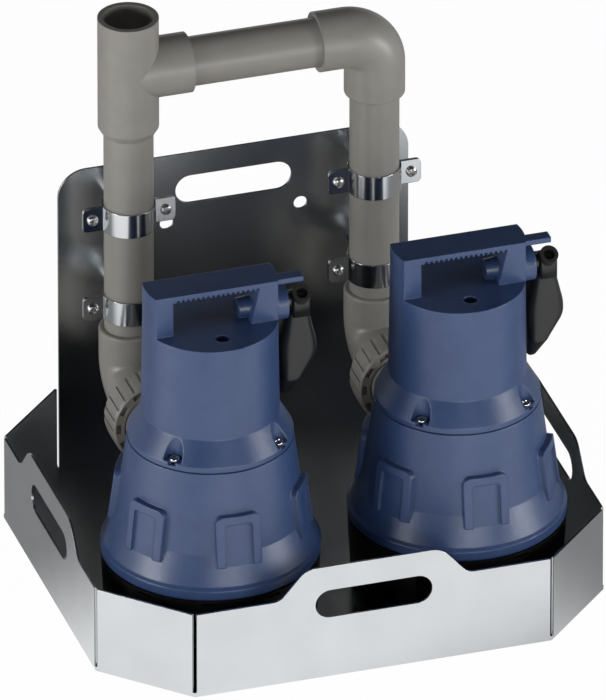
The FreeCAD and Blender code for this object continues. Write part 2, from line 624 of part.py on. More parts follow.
def make_strainer(side):
    """Tapered foot with tall and short arched slots and a ring of snap windows."""
    slope = "(foot_high - foot_low) / (rim_low - sheet_wall)"
    body = turned("strainer_" + side, [
        ("0", "sheet_wall"), ("foot_low", "sheet_wall"), ("foot_high", "rim_low"),
        ("foot_high - foot_wall", "rim_low"), ("foot_low - foot_wall + %s * foot_wall" % slope,
                                               "sheet_wall + foot_wall"),
        ("0", "sheet_wall + foot_wall")])
    tall = sketch_on(body, "tall_slot_" + side, "XZ_Plane")
    arch(tall, "strainer_slot", "slot_foot", "tall_slot")
    around(body, [pocket(body, tall, "2 * foot_high")], "slot_count")
    turn = "180 / slot_count"
    for name in ("short", "window"):
        shape = sketch_on(body, "%s_slot_%s" % (name, side), "XZ_Plane")
        if name == "short":
            arch(shape, "strainer_slot", "slot_foot", "short_slot")
        else:
            outline(shape, [("-window_wide / 2", "window_low"), ("window_wide / 2", "window_low"),
                            ("window_wide / 2", "window_low + window_tall"),
                            ("-window_wide / 2", "window_low + window_tall")])
        shape.setExpression(".AttachmentOffset.Rotation.Axis.x", "0")
        shape.setExpression(".AttachmentOffset.Rotation.Axis.y", "1")
        shape.setExpression(".AttachmentOffset.Rotation.Axis.z", "0")
        shape.setExpression(".AttachmentOffset.Rotation.Angle", ex(turn))
        doc.recompute()
        around(body, [pocket(body, shape, "2 * foot_high")], "slot_count")
    stand(body, side, "strainer_foot")


def make_casing(side):
    """Cast pump casing with raised arch pads, the discharge nozzle, the seal deck and the bearing carrier."""
    wall_at = "crease_radius - (%s - crease_level) * (crease_radius - bell_radius) / (seam_level - crease_level)"
    top = "seam_level - gasket_thick / 2"
    inside = [("core_radius", "flange_low"), (wall_at % "flange_low" + " - casing_wall", "flange_low"),
              (wall_at % "deck_high" + " - casing_wall", "deck_high"), ("carrier_radius", "deck_high"),
              ("carrier_radius", "carrier_high"), ("bearing_radius + seat_gap", "carrier_high"),
              ("bearing_radius + seat_gap", "bearing_low"), ("seal_bore", "bearing_low"),
              ("seal_bore", "deck_low"), ("chamber_radius", "deck_low"), ("chamber_radius", "cover_level"),
              ("rim_radius - casing_wall", "cover_level"), ("rim_radius - casing_wall", "rim_low")]
    shell = turned("casing_shell_" + side, [
        ("rim_radius - rim_round", "rim_low"), ("rim_radius", "rim_low + rim_round"),
        ("rim_radius", "rim_high - rim_round"), ("rim_radius - rim_round", "rim_high"),
        ("crease_radius", "crease_level"), ("bell_radius", top), ("core_radius", top)] + inside)
    start = "(bell_radius - 2 * casing_wall)"
    panel_wide, panel_high = "(pad_wide - 2 * pad_bar)", "pad_high - pad_bar"
    raised = []
    for name, proud, wide, high, corner in (("bar", "pad_proud", "pad_wide", "pad_high", "pad_round"),
                                            ("panel", "panel_proud", panel_wide + " + panel_lap",
                                             panel_high + " + panel_lap", "pad_round / 2")):
        skin = turned("%s_skin_%s" % (name, side), [
            ("crease_radius - casing_wall / 2", "pad_low"), ("crease_radius + %s + pad_fall" % proud, "pad_low"),
            ("crease_radius + " + proud, "crease_level"), ("bell_radius + " + proud, top),
            ("bell_radius - casing_wall / 2", top), ("crease_radius - casing_wall / 2", "crease_level")])
        prisms = add("PartDesign::Body", "pad_%ss_%s" % (name, side))
        shape = sketch_on(prisms, "pad_%s_%s" % (name, side), "XZ_Plane", start)
        shield(shape, wide, "pad_low", high, corner)
        features = [pad(prisms, shape, "rim_radius - " + start)]
        if name == "bar":
            shape = sketch_on(prisms, "pad_hollow_" + side, "XZ_Plane", start)
            shield(shape, panel_wide, "pad_low - pad_bar", panel_high, "pad_round / 2")
            features.append(pocket(prisms, shape, "rim_radius", Reversed=True))
        around(prisms, features, "pad_count")
        raised.append(overlap("%ss_%s" % (name, side), prisms, skin))
    away = block("nozzle_side_" + side, "pad_wide * 2", "rim_radius", "pad_high", "-pad_wide", "rim_radius / 4", "0")
    bars = cut("pads_" + side, join("raised_" + side, *raised), away)
    nozzle = rod("nozzle_" + side, "nozzle_radius", "nozzle_end - chamber_radius - casing_wall",
                 "0", "nozzle_end", "lower_level", TO_FRONT)
    port = [rod("port_" + side, "port_radius", "nozzle_end - chamber_radius / 2", "0", "nozzle_end",
                "lower_level", TO_FRONT),
            rod("port_socket_" + side, "spigot_radius + glue_gap", "nozzle_socket", "0", "nozzle_end",
                "lower_level", TO_FRONT)]
    holes = [rod("case_hole_%s%d" % (side, number), "case_screw + screw_gap", "case_screw_length",
                 one + "screw_circle * sqrt(2) / 2", two + "screw_circle * sqrt(2) / 2",
                 "pocket_floor - case_screw_length")
             for number, (one, two) in enumerate(SCREW_SIGNS)]
    cover_seat = rod("cover_seat_" + side, "rim_radius - casing_wall", "cover_level - rim_low", up="rim_low")
    casing = cut("casing_" + side, join("casing_solid_" + side, shell, nozzle, bars), *port, *holes, cover_seat)
    stand(casing, side, "volute_casing")


SCREW_SIGNS = [(one, two) for one in ("-", "") for two in ("-", "")]


def make_motor_housing(side):
    """Upper housing: cone with screw pockets, motor barrel, carrying handle, cable boss and finger bar."""
    low = "seam_level + gasket_thick / 2"
    shell = turned("barrel_" + side, [
        ("core_radius", low), ("lip_radius", low), ("lip_radius", "lip_high"), ("neck_radius", "neck_level"),
        ("top_radius", "top_level"), ("0", "top_level"), ("0", "top_level - top_thick"),
        ("top_bearing_radius + seat_gap", "top_level - top_thick"),
        ("top_bearing_radius + seat_gap", "top_bearing_low"),
        ("top_bearing_radius + top_thick", "top_bearing_low"),
        ("top_bearing_radius + top_thick", "top_level - top_thick"), ("motor_bore", "top_level - top_thick"),
        ("motor_bore", "neck_level"), ("core_radius", "neck_level")])
    grip = add("PartDesign::Body", "grip_" + side)
    side_view = sketch_on(grip, "grip_side_" + side, "XZ_Plane", "-grip_back")
    seat = "top_level - top_thick / 2"
    outline(side_view, [("-neck_radius", seat), ("neck_radius", seat),
                        ("neck_radius", "grip_high"), ("-neck_radius", "grip_high")])
    pad(grip, side_view, "grip_front + grip_back")
    opening = sketch_on(grip, "grip_opening_" + side, "XZ_Plane", "-grip_back")
    outline(opening, [("-grip_left", "top_level"), ("grip_right - post_slant", "top_level"),
                      ("grip_right", "grip_high - bar_thick"), ("-grip_left", "grip_high - bar_thick")])
    pocket(grip, opening, "grip_front + grip_back", Reversed=True)
    teeth = sketch_on(grip, "grip_teeth_" + side, "XZ_Plane", "-grip_back")
    first, under = "-(tooth_count - 1) * tooth_pitch / 2", "grip_high - bar_thick"
    outline(teeth, [(first, under), (first + " + tooth_wide", under),
                    (first + " + tooth_wide", under + " + tooth_deep"), (first, under + " + tooth_deep")])
    tooth = pocket(grip, teeth, "grip_front + grip_back", Reversed=True)
    row = grip.newObject("PartDesign::LinearPattern", "grip_comb_" + side)
    row.Originals = [tooth]
    row.Direction = (plane(grip, "X_Axis"), [""])
    bind(row, Length="(tooth_count - 1) * tooth_pitch", Occurrences="tooth_count")
    grip.Tip = row
    trim = rod("grip_trim_" + side, "top_radius", "grip_high", up="0")
    handle = overlap("handle_" + side, grip, trim)
    boss = rod("cable_boss_" + side, "boss_radius", "boss_end - bar_start", "bar_start", "-boss_setback",
               "boss_level", (Y_AXIS, 90))
    finger = block("finger_bar_" + side, "finger_bar_end - bar_start", "finger_bar_front - finger_bar_back",
                   "finger_bar_thick", "bar_start", "-finger_bar_front", "grip_high - finger_bar_thick")
    nose = bind(add("Part::Cone", "nose_" + side), Radius1="nose_tip", Radius2="nose_radius",
                Height="grip_right - nose_start")
    place(nose, "nose_start", "-boss_setback", "boss_level", (Y_AXIS, 90))
    vent_seat = rod("vent_seat_" + side, "vent_radius + top_thick", "vent_deep + top_thick", "0",
                    "-vent_setback", "top_level - vent_deep - top_thick")
    vent = rod("vent_" + side, "vent_radius", "vent_deep", "0", "-vent_setback", "top_level - vent_deep")
    tools = [vent, rod("pivot_seat_" + side, "pivot_radius + glue_gap", "pivot_in",
                       "boss_end - pivot_in", "-boss_setback", "boss_level", (Y_AXIS, 90))]
    for number, (one, two) in enumerate(SCREW_SIGNS):
        across, along = one + "%s * sqrt(2) / 2", two + "%s * sqrt(2) / 2"
        tools.append(rod("pocket_%s%d" % (side, number), "pocket_radius", "neck_level", across % "pocket_circle",
                         along % "pocket_circle", "pocket_floor"))
        tools.append(rod("screw_way_%s%d" % (side, number), "case_screw + screw_gap", "case_screw_length",
                         across % "screw_circle", along % "screw_circle", "pocket_floor - case_screw_length"))
        tools.append(rod("lip_notch_%s%d" % (side, number), "lip_notch", "neck_level", across % "lip_radius",
                         along % "lip_radius", "lip_high - lip_notch / 2"))
    housing = cut("housing_" + side, join("housing_solid_" + side, shell, handle, boss, finger, nose,
                                          vent_seat), *tools)
    stand(housing, side, "motor_housing")


def make_seals_and_screws(side):
    """Seam gasket, case screws, suction cover and shaft seal."""
    half = "gasket_thick / 2"
    gasket = turned("gasket_" + side, [
        ("core_radius", "seam_level - " + half), ("lip_radius - gasket_inset", "seam_level - " + half),
        ("lip_radius - gasket_inset", "seam_level + " + half), ("core_radius", "seam_level + " + half)])
    holes = [rod("gasket_hole_%s%d" % (side, number), "case_screw + screw_gap", "case_screw_length",
                 one + "screw_circle * sqrt(2) / 2", two + "screw_circle * sqrt(2) / 2",
                 "pocket_floor - case_screw_length")
             for number, (one, two) in enumerate(SCREW_SIGNS)]
    stand(cut("gasket_ring_" + side, gasket, *holes), side, "seam_gasket")
    screws = []
    for number, (one, two) in enumerate(SCREW_SIGNS):
        screw = turned("case_screw_%s%d" % (side, number), [
            ("0", "pocket_floor - case_screw_length + screw_gap"),
            ("case_screw", "pocket_floor - case_screw_length + screw_gap"), ("case_screw", "pocket_floor"),
            ("case_screw_head", "pocket_floor"), ("case_screw_head / 2", "pocket_floor + case_screw_rise"),
            ("0", "pocket_floor + case_screw_rise")])
        place(screw, one + "screw_circle * sqrt(2) / 2", two + "screw_circle * sqrt(2) / 2", "0")
        screws.append(screw)
    group = add("Part::Compound", "case_screw_group_" + side)
    group.Links = screws
    stand(group, side, "case_screws")
    cover = turned("cover_" + side, [
        ("eye_radius", "cover_level - cover_thick"),
        ("rim_radius - casing_wall - cover_gap", "cover_level - cover_thick"),
        ("rim_radius - casing_wall - cover_gap", "cover_level"), ("eye_radius + cover_thick", "cover_level"),
        ("eye_radius", "cover_level - cover_thick / 2")])
    stand(cover, side, "suction_cover")
    seal = turned("seal_" + side, [
        ("shaft_radius + running_gap", "seal_low"), ("seal_bore - seat_gap", "seal_low"),
        ("seal_bore - seat_gap", "seal_high"), ("shaft_radius + running_gap", "seal_high")])
    stand(seal, side, "shaft_seal")


def make_motor(side):
    """Stator, windings, bearings, shaft, rotor and the open impeller."""
    stack = "stack_high - stack_low"
    bore = "(rotor_radius + air_gap)"
    core = turned("core_" + side, [(bore, "stack_low"), ("motor_bore - seat_gap", "stack_low"),
                                   ("motor_bore - seat_gap", "stack_high"), (bore, "stack_high")])
    stand(core, side, "stator_core")
    coils = [turned("coil_%s_%s" % (name, side), [("winding_inner", foot), ("winding_outer", foot),
                                                  ("winding_outer", head), ("winding_inner", head)])
             for name, foot, head in (("top", "stack_high", "stack_high + winding_over"),
                                      ("low", "stack_low - winding_over", "stack_low"))]
    group = add("Part::Compound", "coils_" + side)
    group.Links = coils
    stand(group, side, "stator_windings")
    rings = []
    for name, radius, foot, thick in (("low", "bearing_radius", "bearing_low", "bearing_thick"),
                                      ("top", "top_bearing_radius", "top_bearing_low", "top_bearing_thick")):
        rings.append(turned("bearing_%s_%s" % (name, side), [
            ("shaft_radius + running_gap", foot), (radius, foot), (radius, "%s + %s" % (foot, thick)),
            ("shaft_radius + running_gap", "%s + %s" % (foot, thick))]))
    group = add("Part::Compound", "bearings_group_" + side)
    group.Links = rings
    stand(group, side, "bearings")
    shaft = turned("spindle_" + side, [
        ("0", "shaft_low"), ("shaft_nose", "shaft_low"), ("shaft_nose", "impeller_high"),
        ("shaft_radius", "impeller_high"), ("shaft_radius", "shaft_high"), ("0", "shaft_high")])
    stand(shaft, side, "motor_shaft")
    rotor = turned("rotor_" + side, [
        ("shaft_radius + running_gap", "stack_low - rotor_over"), ("rotor_radius", "stack_low - rotor_over"),
        ("rotor_radius", "stack_high + rotor_over"),
        ("shaft_radius + running_gap", "stack_high + rotor_over")])
    stand(rotor, side, "rotor_core")
    impeller = turned("wheel_" + side, [
        ("shaft_nose + running_gap", "impeller_low"), ("hub_radius", "impeller_low"),
        ("hub_radius + hub_draft", "shroud_low"), ("impeller_radius", "shroud_low"),
        ("impeller_radius", "shroud_low + shroud_edge"), ("hub_radius + 2 * hub_draft", "impeller_high"),
        ("shaft_nose + running_gap", "impeller_high")])
    vane = sketch_on(impeller, "vane_" + side, "XY_Plane", "impeller_low")
    root, middle, tip = "hub_radius - blade_root", "impeller_radius / 2", "impeller_radius - blade_root"
    outline(vane, [(root, "-blade_thick / 2"), (middle, "blade_sweep / 4 - blade_thick / 2"),
                   (tip, "blade_sweep - blade_thick / 2"), (tip, "blade_sweep + blade_thick / 2"),
                   (middle, "blade_sweep / 4 + blade_thick / 2"), (root, "blade_thick / 2")])
    around(impeller, [pad(impeller, vane, "shroud_low - impeller_low + blade_root")], "blade_count")
    stand(impeller, side, "impeller")


def make_valve(side):
    """Check valve between nozzle and union: body with seat and chamber, and a top-hung flap."""
    body = turned_along("valve_shell_" + side, [
        ("nozzle_end - nozzle_socket + glue_gap", "port_radius"),
        ("nozzle_end - nozzle_socket + glue_gap", "spigot_radius"), ("nozzle_end", "spigot_radius"),
        ("nozzle_end", "nozzle_radius"), ("nozzle_end + nozzle_socket", "nozzle_radius"),
        ("nozzle_end + nozzle_socket", "valve_radius"), (VALVE_END + " - flange_thick", "valve_radius"),
        (VALVE_END + " - flange_thick", "union_flange / 2"), (VALVE_END, "union_flange / 2"),
        (VALVE_END, "valve_chamber"), ("valve_seat", "valve_chamber"), ("valve_seat", "port_radius")])
    bearings = rod("trunnion_way_" + side, "trunnion_radius + trunnion_gap", "2 * (trunnion_half + flap_gap)",
                   "-trunnion_half - flap_gap", HINGE_Y, "hinge_rise", (Y_AXIS, 90))
    valve = cut("valve_" + side, body, bearings)
    place(valve, riser_x(side), PUMP_AXIS, "lower_level")
    node(valve, "check_valve_body_" + side)
    disc = rod("flap_disc_" + side, "flap_radius", "flap_thick", "0", "valve_seat + flap_gap + flap_thick", "0",
               TO_FRONT)
    barrel = rod("flap_barrel_" + side, "hinge_radius", "2 * hinge_half", "-hinge_half", HINGE_Y, "hinge_rise",
                 (Y_AXIS, 90))
    trunnion = rod("flap_trunnion_" + side, "trunnion_radius", "2 * trunnion_half", "-trunnion_half", HINGE_Y,
                   "hinge_rise", (Y_AXIS, 90))
    flap = join("flap_" + side, disc, barrel, trunnion)
    place(flap, riser_x(side), PUMP_AXIS, "lower_level")
    node(flap, "valve_flap_" + side)


HINGE_Y = "valve_seat + flap_gap + hinge_radius"


def sleeve_rod(name, radius, length, start):
    """Cylinder along the float's cable outlet, which leans forward from upright, from a distance off the pin."""
    return rod(name, radius, length, "(neck_inner + neck_outer) / 2",
               "-boss_setback - (%s) * cos(sleeve_tilt)" % start, "boss_level + (%s) * sin(sleeve_tilt)" % start,
               (X_AXIS, 90 - val("sleeve_tilt")))


def make_float(side):
    """Level float on a pivot pin in the cable boss, with the cable sleeve in its neck."""
    front = add("PartDesign::Body", "float_front_view_" + side)
    wide_low, wide_high = "float_wide_level - float_wide_half", "float_wide_level + float_wide_half"
    sketch = sketch_on(front, "float_front_sketch_" + side, "XZ_Plane", "-float_back")
    outline(sketch, [
        ("float_foot_in", "float_foot"), ("float_foot_out", "float_foot"), ("float_low_out", "float_crease"),
        ("float_outer", wide_low), ("float_outer", wide_high), ("float_shoulder_out", "float_shoulder"),
        ("float_shoulder_in", "float_shoulder"), ("float_inner", wide_high), ("float_inner", wide_low)])
    pad(front, sketch, "float_back - float_front")
    back = add("PartDesign::Body", "float_side_view_" + side)
    sketch = sketch_on(back, "float_side_sketch_" + side, "YZ_Plane", "float_inner - float_round")
    outline(sketch, [
        ("float_foot_front", "float_foot"), ("float_back_high", "float_foot"), ("float_back", wide_low),
        ("float_back", wide_high), ("float_back_high", "float_shoulder"), ("float_front", "float_shoulder"),
        ("float_front", "float_crease")])
    pad(back, sketch, "float_outer - float_inner + 2 * float_round")
    bulb = overlap("float_bulb_" + side, front, back)
    doc.recompute()
    soft = add("Part::Fillet", "float_soft_" + side)
    soft.Base = bulb
    soft.Edges = [(i, val("float_round"), val("float_round")) for i in range(1, len(bulb.Shape.Edges) + 1)]
    neck = block("float_neck_" + side, "neck_outer - neck_inner", "2 * neck_half",
                 "boss_level - float_shoulder + float_round", "neck_inner", "-neck_half - boss_setback",
                 "float_shoulder - float_round")
    eye = rod("float_eye_" + side, "neck_half", "neck_outer - neck_inner", "neck_inner", "-boss_setback",
              "boss_level", (Y_AXIS, 90))
    way = sleeve_rod("sleeve_way_" + side, "sleeve_radius + glue_gap", "2 * sleeve_end", "sleeve_start")
    hole = rod("pivot_way_" + side, "pivot_radius + running_gap", "pivot_out - neck_inner + float_gap * 2",
               "neck_inner - float_gap", "-boss_setback", "boss_level", (Y_AXIS, 90))
    float_body = cut("float_" + side, join("float_solid_" + side, soft, neck, eye), way, hole)
    stand(float_body, side, "float_body")
    pin = join("pin_solid_" + side,
               rod("pin_" + side, "pivot_radius", "pivot_out - boss_end + pivot_in", "boss_end - pivot_in",
                   "-boss_setback", "boss_level", (Y_AXIS, 90)),
               rod("pin_collar_" + side, "collar_radius",
                   "(neck_inner + neck_outer) / 2 - sleeve_radius - float_gap - boss_end", "boss_end",
                   "-boss_setback", "boss_level", (Y_AXIS, 90)))
    stand(pin, side, "float_pivot")
    sleeve = cut("sleeve_" + side, sleeve_rod("sleeve_tube_" + side, "sleeve_radius", "sleeve_end - sleeve_start",
                                              "sleeve_start"),
                 sleeve_rod("sleeve_mouth_" + side, "sleeve_bore", "sleeve_end", "sleeve_end - sleeve_deep"))
    stand(sleeve, side, "float_cable_sleeve")


make_tray()
make_back_plate()
make_pipework()
make_clamps()
for side in ("left", "right"):
    make_union(side)
    make_strainer(side)
    make_casing(side)
    make_motor_housing(side)
    make_seals_and_screws(side)
    make_motor(side)
    make_valve(side)
    make_float(side)
doc.recompute()

for thing in doc.Objects:
    if "Invalid" in thing.State or "Error" in thing.State:
        raise ValueError("%s is %s" % (thing.Name, thing.State))
for thing in NODES:
    if thing.Shape.isNull() or not thing.Shape.isValid():
        raise ValueError("%s has a bad shape" % thing.Label)

os.makedirs("parts", exist_ok=True)
for thing in NODES:
    thing.Shape.exportStep("parts/%s.step" % thing.Label)
print("wrote %d sub-parts" % len(NODES))
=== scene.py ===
# %% [markdown]
# # Submersible pump set
#
# Two drainage pumps stand in one folded sheet-metal tray. Their grey plastic risers join in one outlet tee.
# The construction comes ready made and at its real size. This lesson gives it its finishes, swaps the parts
# whose soft moulded form deserves a better mesh, and then sets the light and the camera.

# %% Load the construction
import json
import math

import bmesh
import bpy
from mathutils import Matrix, Vector


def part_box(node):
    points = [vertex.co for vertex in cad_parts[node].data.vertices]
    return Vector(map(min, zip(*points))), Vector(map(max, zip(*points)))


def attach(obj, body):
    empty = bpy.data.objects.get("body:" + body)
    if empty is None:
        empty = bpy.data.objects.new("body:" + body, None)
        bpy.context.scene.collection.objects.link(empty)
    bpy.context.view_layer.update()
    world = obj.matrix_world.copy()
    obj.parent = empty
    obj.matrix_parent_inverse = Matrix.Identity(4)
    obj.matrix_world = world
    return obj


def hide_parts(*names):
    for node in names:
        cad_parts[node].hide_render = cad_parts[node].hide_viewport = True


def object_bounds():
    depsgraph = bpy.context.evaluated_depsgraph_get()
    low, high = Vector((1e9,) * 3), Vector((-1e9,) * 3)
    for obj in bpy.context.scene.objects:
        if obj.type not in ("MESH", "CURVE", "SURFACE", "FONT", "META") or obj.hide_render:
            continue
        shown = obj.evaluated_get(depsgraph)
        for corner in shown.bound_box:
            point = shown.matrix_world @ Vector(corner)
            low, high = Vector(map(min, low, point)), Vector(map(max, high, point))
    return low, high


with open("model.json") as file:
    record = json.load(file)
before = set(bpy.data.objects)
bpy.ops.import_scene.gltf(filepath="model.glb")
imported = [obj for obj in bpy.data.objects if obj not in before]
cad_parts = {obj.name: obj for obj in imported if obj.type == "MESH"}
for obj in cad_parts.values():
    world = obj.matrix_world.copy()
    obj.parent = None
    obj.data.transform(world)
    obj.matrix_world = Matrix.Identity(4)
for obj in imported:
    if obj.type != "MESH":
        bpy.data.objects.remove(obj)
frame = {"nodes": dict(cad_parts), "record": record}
cad_low, cad_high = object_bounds()
nodes = frame["nodes"]
MM = 0.001
SIDES = ("left", "right")
print("nodes:", len(nodes), "height in metres:", round(cad_high.z - cad_low.z, 3))

# %% [markdown]
# ## Colour and shader helpers
#
# A colour is written as the hex value that a paint card or a screen would give, and one function turns it into
# the linear numbers that a shader adds light with. One more function adds a shader node, sets what it is told
# and links what it is given, so that each finish reads as a short recipe.

# %% Colour and node helpers
def colour(code):
    """Turn an sRGB hex code into linear red, green, blue and alpha."""
    channels = [int(code[i:i + 2], 16) / 255 for i in (1, 3, 5)]
    return [c / 12.92 if c <= 0.04045 else ((c + 0.055) / 1.055) ** 2.4 for c in channels] + [1.0]


def add(tree, kind, links=None, **settings):
    """Add a node, set its properties, and set or link its inputs by name or number."""
    made = tree.nodes.new(kind)
    for name, value in settings.items():
        setattr(made, name, value)
    for name, value in (links or {}).items():
        socket = made.inputs[name]
        if isinstance(value, bpy.types.NodeSocket):
            tree.links.new(value, socket)
        else:
            socket.default_value = value
    return made


def blank_material(name):
    """Material with an empty tree and an output."""
    material = bpy.data.materials.new(name)
    material.use_nodes = True
    material.node_tree.nodes.clear()
    output = add(material.node_tree, "ShaderNodeOutputMaterial")
    return material, material.node_tree, output


NOISE_LOW, NOISE_HIGH = 0.3, 0.7


def noise(tree, size_mm, detail, roughness, stretch=(1, 1, 1)):
    """Noise on object coordinates whose blotches are about size_mm wide. It stays mostly between the two limits."""
    place = add(tree, "ShaderNodeTexCoord").outputs["Object"]
    mapping = add(tree, "ShaderNodeMapping", {"Vector": place, "Scale": stretch})
    texture = add(tree, "ShaderNodeTexNoise", {"Vector": mapping.outputs["Vector"], "Scale": 1 / (size_mm * MM),
                                               "Detail": detail, "Roughness": roughness})
    return texture.outputs["Fac"]


def tint(tree, factor, low, high):
    """Blend two hex colours by a noise."""
    ramp = add(tree, "ShaderNodeValToRGB", {"Fac": factor})
    ramp.color_ramp.elements[0].position = NOISE_LOW
    ramp.color_ramp.elements[0].color = colour(low)
    ramp.color_ramp.elements[1].position = NOISE_HIGH
    ramp.color_ramp.elements[1].color = colour(high)
    return ramp.outputs["Color"]


def spread(tree, factor, low, high):
    """Turn a noise into a number between low and high."""
    made = add(tree, "ShaderNodeMapRange", {"Value": factor, "From Min": NOISE_LOW, "From Max": NOISE_HIGH,
                                            "To Min": low, "To Max": high})
    return made.outputs["Result"]


def soft_edge(tree, radius_mm, height, depth_mm):
    """Normal of a rounded arris with a fine relief on top of it."""
    arris = add(tree, "ShaderNodeBevel", {"Radius": radius_mm * MM}, samples=6)
    bump = add(tree, "ShaderNodeBump", {"Height": height, "Distance": depth_mm * MM, "Strength": 1.0,
                                        "Normal": arris.outputs["Normal"]})
    return bump.outputs["Normal"]


# %% [markdown]
# ## The finishes
#
# Each finish starts from what the real material is. The pump housings are glass-filled polypropylene, moulded in
# a tool with a fine spark-eroded grain, so they have a broad soft sheen. The pipes are extruded PVC-U, smoother
# than the injection-moulded fittings. The tray is stainless sheet with a cold-rolled face that mirrors its
# surroundings through a faint haze.

# %% Moulded plastics
PLASTIC_IOR = 1.5


def moulded(name, low, high, rough, grain_mm, depth_mm, arris_mm, cloud_mm=18.0, gloss=0.5):
    """Moulded plastic: cloudy colour, a fine tool grain and softly rounded arrises."""
    material, tree, output = blank_material(name)
    cloud = noise(tree, cloud_mm, detail=4.0, roughness=0.6)
    grain = noise(tree, grain_mm, detail=3.0, roughness=0.6)
    shader = add(tree, "ShaderNodeBsdfPrincipled", {
        "Base Color": tint(tree, cloud, low, high),
        "Roughness": spread(tree, grain, *rough),
        "Normal": soft_edge(tree, arris_mm, grain, depth_mm),
        "IOR": PLASTIC_IOR,
        "Specular IOR Level": gloss,
    })
    tree.links.new(shader.outputs["BSDF"], output.inputs["Surface"])
    return material


BLUE = moulded("glass_filled_polypropylene_blue", "#2b3f66", "#32466d", rough=(0.30, 0.44),
               grain_mm=1.1, depth_mm=0.14, arris_mm=1.6, gloss=0.6)
BLACK = moulded("polypropylene_black", "#0b0a09", "#100f0e", rough=(0.50, 0.60),
                grain_mm=1.0, depth_mm=0.05, arris_mm=0.5, gloss=0.2)
CHARCOAL = moulded("float_polypropylene_charcoal", "#131414", "#181919", rough=(0.32, 0.42),
                   grain_mm=0.8, depth_mm=0.05, arris_mm=0.8)
PIPE = moulded("extruded_pvc_grey", "#85827c", "#8b8882", rough=(0.30, 0.38),
               grain_mm=2.5, depth_mm=0.03, arris_mm=0.4, cloud_mm=40.0)
FITTING = moulded("moulded_pvc_grey", "#84817b", "#8b8882", rough=(0.33, 0.42),
                  grain_mm=1.1, depth_mm=0.04, arris_mm=0.7)
RUBBER = moulded("nitrile_rubber_black", "#141414", "#1a1a1a", rough=(0.6, 0.7),
                 grain_mm=0.7, depth_mm=0.04, arris_mm=0.3)


# %% Metals
METAL_CLOUD_MM = 45.0


def metal(name, low, high, rough, streak_mm, depth_mm, arris_mm, stretch=(1, 1, 1)):
    """Bare metal: a faint haze, which the stretch draws out along a turning or winding direction."""
    material, tree, output = blank_material(name)
    streak = noise(tree, streak_mm, detail=3.0, roughness=0.6, stretch=stretch)
    cloud = noise(tree, METAL_CLOUD_MM, detail=3.0, roughness=0.5)
    shader = add(tree, "ShaderNodeBsdfPrincipled", {
        "Base Color": tint(tree, cloud, low, high),
        "Metallic": 1.0,
        "Roughness": spread(tree, streak, *rough),
        "Normal": soft_edge(tree, arris_mm, streak, depth_mm),
    })
    tree.links.new(shader.outputs["BSDF"], output.inputs["Surface"])
    return material


SHEET = metal("cold_rolled_stainless_sheet", "#c6c9cb", "#ccd0d2", rough=(0.22, 0.27),
              streak_mm=0.6, depth_mm=0.0006, arris_mm=0.3)
ZINC = metal("bright_zinc_plated_steel", "#c6cacd", "#d0d3d6", rough=(0.14, 0.19),
             streak_mm=1.0, depth_mm=0.0006, arris_mm=0.6)
STEEL = metal("turned_stainless_steel", "#c8c8c8", "#d2d2d2", rough=(0.18, 0.26),
              streak_mm=1.5, depth_mm=0.004, arris_mm=0.2, stretch=(1, 1, 0.1))
LAMINATION = metal("lamination_steel", "#8c8c8e", "#9a9a9c", rough=(0.35, 0.45),
                   streak_mm=2.0, depth_mm=0.01, arris_mm=0.2, stretch=(1, 1, 8))
COPPER = metal("enamelled_copper_wire", "#b4673c", "#c87a4a", rough=(0.3, 0.4),
               streak_mm=2.0, depth_mm=0.02, arris_mm=0.2, stretch=(8, 8, 1))

SLOT_FINISH = {
    "sheet_steel": SHEET, "pvc_grey": FITTING, "zinc_steel": ZINC, "stainless": STEEL, "blue_plastic": BLUE,
    "black_plastic": BLACK, "charcoal_plastic": CHARCOAL, "rubber": RUBBER, "lamination_steel": LAMINATION,
    "copper": COPPER, "bearing_steel": STEEL,
}
for entry in frame["record"]["subparts"]:
    mesh = nodes[entry["node"]].data
    mesh.materials.clear()
    mesh.materials.append(SLOT_FINISH[entry["material_slot"]])
for name in ("cross_pipe", "riser_pipe_left", "riser_pipe_right"):
    nodes[name].data.materials[0] = PIPE
print("finishes:", len(bpy.data.materials))

# %% [markdown]
# ## Screws
#
# The straps are closed by eight pan-head screws and each motor housing is held down by four. They are all the same
# kind: a low dome with a cross recess on a plain shank. One screw is modelled, and Geometry Nodes place a copy on
# every point of a small cloud of places, turn it to face outwards and make the copies real.

# %% One pan-head screw with a cross recess
AXIS = {side: sum(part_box("motor_shaft_" + side), Vector()) / 2 for side in SIDES}


def tidy(mesh_maker):
    """Merge doubles and point every face outwards."""
    bmesh.ops.remove_doubles(mesh_maker, verts=mesh_maker.verts, dist=1e-6)
    bmesh.ops.recalc_face_normals(mesh_maker, faces=mesh_maker.faces)


def to_object(mesh_maker, name):
    """Turn a bmesh into a smooth object in the scene."""
    mesh = bpy.data.meshes.new(name)
    tidy(mesh_maker)
    mesh_maker.to_mesh(mesh)
    mesh_maker.free()
    mesh.polygons.foreach_set("use_smooth", [True] * len(mesh.polygons))
    made = bpy.data.objects.new(name, mesh)
    bpy.context.scene.collection.objects.link(made)
    return made


def ring_surface(mesh_maker, rings):
    """Skin rings of points with quads, and close both ends with a fan round their middle."""
    loops = [[mesh_maker.verts.new(point) for point in ring] for ring in rings]
    count = len(loops[0])
    for one, two in zip(loops, loops[1:]):
        for i in range(count):
            after = (i + 1) % count
            mesh_maker.faces.new((one[i], one[after], two[after], two[i]))
    for loop in (loops[0], loops[-1]):
        hub = mesh_maker.verts.new(sum((vert.co for vert in loop), Vector()) / count)
        for i in range(count):
            mesh_maker.faces.new((hub, loop[i], loop[(i + 1) % count]))


